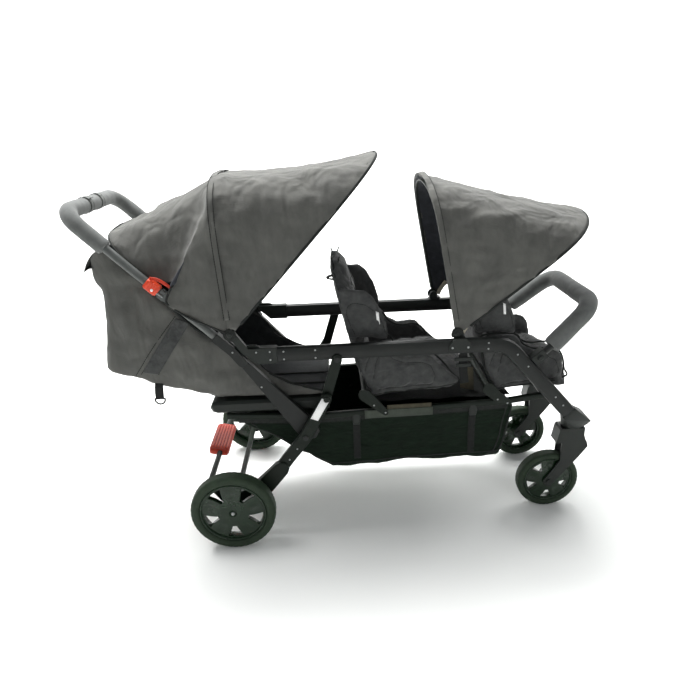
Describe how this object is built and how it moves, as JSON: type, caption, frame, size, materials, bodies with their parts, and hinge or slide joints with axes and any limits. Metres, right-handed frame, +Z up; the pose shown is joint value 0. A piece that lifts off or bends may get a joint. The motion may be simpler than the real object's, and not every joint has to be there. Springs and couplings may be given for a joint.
{
  "type": "tandem daycare stroller",
  "caption": "Tandem daycare stroller: long rail frame with reclined rear seat, bucket seats, folding canopies, basket, swivel casters, foot brake, folding push bar and bumper bar.",
  "frame": {"origin": "middle of the stroller, on the floor under the middle of its bounding box", "axes": "+X forward, the way the stroller is pushed; +Y to the left; +Z up"},
  "size_m": [1.3996, 0.564, 1.0537],
  "materials": {
    "frame_black": "satin black powder coat on aluminium tube",
    "bow_black": "black flexible plastic bow",
    "plastic_black": "fine-grained black moulding",
    "rim_black": "black moulded rim, slightly glossy",
    "tyre_black": "matt black foam-filled tyre with a fine tread",
    "grip_foam": "matt dark grey foam",
    "canopy_fabric": "charcoal coated woven canopy cloth",
    "seat_fabric": "charcoal padded woven cloth",
    "basket_fabric": "black coated basket cloth",
    "lock_red": "orange-red moulding",
    "pedal_red": "red moulding with grip ribs",
    "button_grey": "grey push button"
  },
  "bodies": {
    "main_frame": {"rail_left": "frame_black", "rail_right": "frame_black", "rail_joint_left": "plastic_black", "rail_joint_right": "plastic_black", "lower_tube_left": "frame_black", "lower_tube_right": "frame_black", "front_cross_tube": "frame_black", "caster_housing_left": "plastic_black", "caster_housing_right": "plastic_black", "bumper_socket_left": "plastic_black", "bumper_socket_right": "plastic_black", "basket": "basket_fabric", "rear_seat_base": "plastic_black", "rear_seat": "canopy_fabric", "rear_seat_pad": "seat_fabric", "mid_seat_frame": "frame_black", "front_seat_frame": "frame_black", "mid_seat_pad": "seat_fabric", "front_seat_pad": "seat_fabric", "canopy_clip_left": "plastic_black", "canopy_clip_right": "plastic_black", "rear_canopy_cover": "canopy_fabric", "front_canopy_cover": "canopy_fabric"},
    "push_frame": {"push_arm_left": "frame_black", "push_arm_right": "frame_black", "handle_stem_left": "frame_black", "handle_stem_right": "frame_black"},
    "handle": {"handle_bar": "frame_black", "handle_grip": "grip_foam"},
    "handle_lock_left": {"handle_lock_left": "lock_red"},
    "handle_lock_right": {"handle_lock_right": "lock_red"},
    "rear_axle_frame": {"rear_leg_left": "frame_black", "rear_leg_right": "frame_black", "rear_axle": "frame_black"},
    "fold_link_left": {"fold_link_left": "frame_black"},
    "fold_link_right": {"fold_link_right": "frame_black"},
    "brake": {"brake_bar": "frame_black", "brake_pedal": "pedal_red"},
    "rear_wheel_left": {"rear_tyre_left": "tyre_black", "rear_rim_left": "rim_black"},
    "rear_wheel_right": {"rear_tyre_right": "tyre_black", "rear_rim_right": "rim_black"},
    "caster_left": {"caster_fork_left": "plastic_black"},
    "caster_right": {"caster_fork_right": "plastic_black"},
    "front_wheel_left": {"front_tyre_left": "tyre_black", "front_rim_left": "rim_black"},
    "front_wheel_right": {"front_tyre_right": "tyre_black", "front_rim_right": "rim_black"},
    "swivel_lock_left": {"swivel_lock_left": "plastic_black"},
    "swivel_lock_right": {"swivel_lock_right": "plastic_black"},
    "bumper": {"bumper_bar": "frame_black", "bumper_foam": "grip_foam"},
    "bumper_button_left": {"bumper_button_left": "button_grey"},
    "bumper_button_right": {"bumper_button_right": "button_grey"},
    "rear_canopy_front": {"rear_canopy_front_bow": "bow_black"},
    "rear_canopy_middle": {"rear_canopy_middle_bow": "bow_black"},
    "front_canopy_rear": {"front_canopy_rear_bow": "bow_black"},
    "front_canopy_front": {"front_canopy_front_bow": "bow_black"},
    "mid_backrest": {"mid_seat_back": "seat_fabric"},
    "front_backrest": {"front_seat_back": "seat_fabric"}
  },
  "joints": [
    {"name": "frame_fold", "type": "hinge", "parent": "main_frame", "child": "push_frame", "pos_m": [-0.30718, 0, 0.577], "axis": [0, -1, 0], "range_deg": [0, 12]},
    {"name": "leg_fold", "type": "hinge", "parent": "push_frame", "child": "rear_axle_frame", "pos_m": [-0.12918, 0, 0.32], "axis": [0, -1, 0], "range_deg": [-35, 0]},
    {"name": "link_fold_left", "type": "hinge", "parent": "main_frame", "child": "fold_link_left", "pos_m": [-0.03218, 0.203, 0.545], "axis": [0, -1, 0], "range_deg": [0, 47]},
    {"name": "link_fold_right", "type": "hinge", "parent": "main_frame", "child": "fold_link_right", "pos_m": [-0.03218, -0.203, 0.545], "axis": [0, -1, 0], "range_deg": [0, 47]},
    {"name": "handle_fold", "type": "hinge", "parent": "push_frame", "child": "handle", "pos_m": [-0.46325, 0, 0.73417], "axis": [0, -1, 0], "range_deg": [0, 75]},
    {"name": "handle_lock_slide_left", "type": "slide", "parent": "handle", "child": "handle_lock_left", "axis": [-0.7046, 0, 0.7096], "range_m": [0, 0.02], "stiffness_N_per_m": 400},
    {"name": "handle_lock_slide_right", "type": "slide", "parent": "handle", "child": "handle_lock_right", "axis": [-0.7046, 0, 0.7096], "range_m": [0, 0.02], "stiffness_N_per_m": 400},
    {"name": "brake_press", "type": "hinge", "parent": "rear_axle_frame", "child": "brake", "pos_m": [-0.34518, 0, 0.12], "axis": [0, -1, 0], "range_deg": [0, 20]},
    {"name": "rear_wheel_spin_left", "type": "hinge", "parent": "rear_axle_frame", "child": "rear_wheel_left", "pos_m": [-0.34518, 0.262, 0.12], "axis": [0, 1, 0], "continuous": true},
    {"name": "rear_wheel_spin_right", "type": "hinge", "parent": "rear_axle_frame", "child": "rear_wheel_right", "pos_m": [-0.34518, -0.262, 0.12], "axis": [0, 1, 0], "continuous": true},
    {"name": "caster_swivel_left", "type": "hinge", "parent": "main_frame", "child": "caster_left", "pos_m": [0.65782, 0.144, 0.275], "axis": [0, 0, 1], "continuous": true},
    {"name": "caster_swivel_right", "type": "hinge", "parent": "main_frame", "child": "caster_right", "pos_m": [0.65782, -0.144, 0.275], "axis": [0, 0, 1], "continuous": true},
    {"name": "front_wheel_spin_left", "type": "hinge", "parent": "caster_left", "child": "front_wheel_left", "pos_m": [0.59482, 0.144, 0.093], "axis": [0, 1, 0], "continuous": true},
    {"name": "front_wheel_spin_right", "type": "hinge", "parent": "caster_right", "child": "front_wheel_right", "pos_m": [0.59482, -0.144, 0.093], "axis": [0, 1, 0], "continuous": true},
    {"name": "swivel_lock_slide_left", "type": "slide", "parent": "main_frame", "child": "swivel_lock_left", "axis": [0, 0, 1], "range_m": [0, 0.005]},
    {"name": "swivel_lock_slide_right", "type": "slide", "parent": "main_frame", "child": "swivel_lock_right", "axis": [0, 0, 1], "range_m": [0, 0.005]},
    {"name": "bumper_release", "type": "slide", "parent": "main_frame", "child": "bumper", "axis": [0.7504, 0, 0.6609], "range_m": [0, 0.03]},
    {"name": "bumper_button_press_left", "type": "slide", "parent": "main_frame", "child": "bumper_button_left", "axis": [0, -1, 0], "range_m": [0, 0.0025], "stiffness_N_per_m": 400},
    {"name": "bumper_button_press_right", "type": "slide", "parent": "main_frame", "child": "bumper_button_right", "axis": [0, 1, 0], "range_m": [0, 0.0025], "stiffness_N_per_m": 400},
    {"name": "rear_canopy_middle_fold", "type": "hinge", "parent": "main_frame", "child": "rear_canopy_middle", "pos_m": [-0.30718, 0, 0.63], "axis": [0, -1, 0], "range_deg": [0, 10.6], "deforming": ["rear_canopy_cover"]},
    {"name": "rear_canopy_fold", "type": "hinge", "parent": "rear_canopy_middle", "child": "rear_canopy_front", "pos_m": [-0.30718, 0, 0.63], "axis": [0, -1, 0], "range_deg": [0, 24.5], "deforming": ["rear_canopy_cover"]},
    {"name": "front_canopy_rear_fold", "type": "hinge", "parent": "main_frame", "child": "front_canopy_rear", "pos_m": [0.29082, 0, 0.598], "axis": [0, 1, 0], "range_deg": [0, 15], "deforming": ["front_canopy_cover"]},
    {"name": "front_canopy_front_fold", "type": "hinge", "parent": "front_canopy_rear", "child": "front_canopy_front", "pos_m": [0.29082, 0, 0.598], "axis": [0, -1, 0], "range_deg": [0, 32], "deforming": ["front_canopy_cover"]},
    {"name": "mid_backrest_recline", "type": "hinge", "parent": "main_frame", "child": "mid_backrest", "pos_m": [0.03982, 0, 0.422], "axis": [0, -1, 0], "range_deg": [0, 20]},
    {"name": "front_backrest_recline", "type": "hinge", "parent": "main_frame", "child": "front_backrest", "pos_m": [0.38982, 0, 0.422], "axis": [0, -1, 0], "range_deg": [0, 20]}
  ],
  "couplings": [
    {"joint": "leg_fold", "follows": "frame_fold", "ratio": -2.896},
    {"joint": "link_fold_left", "follows": "frame_fold", "ratio": 3.868},
    {"joint": "link_fold_right", "follows": "frame_fold", "ratio": 3.868},
    {"joint": "rear_canopy_middle_fold", "follows": "rear_canopy_fold", "ratio": 0.4286}
  ]
}
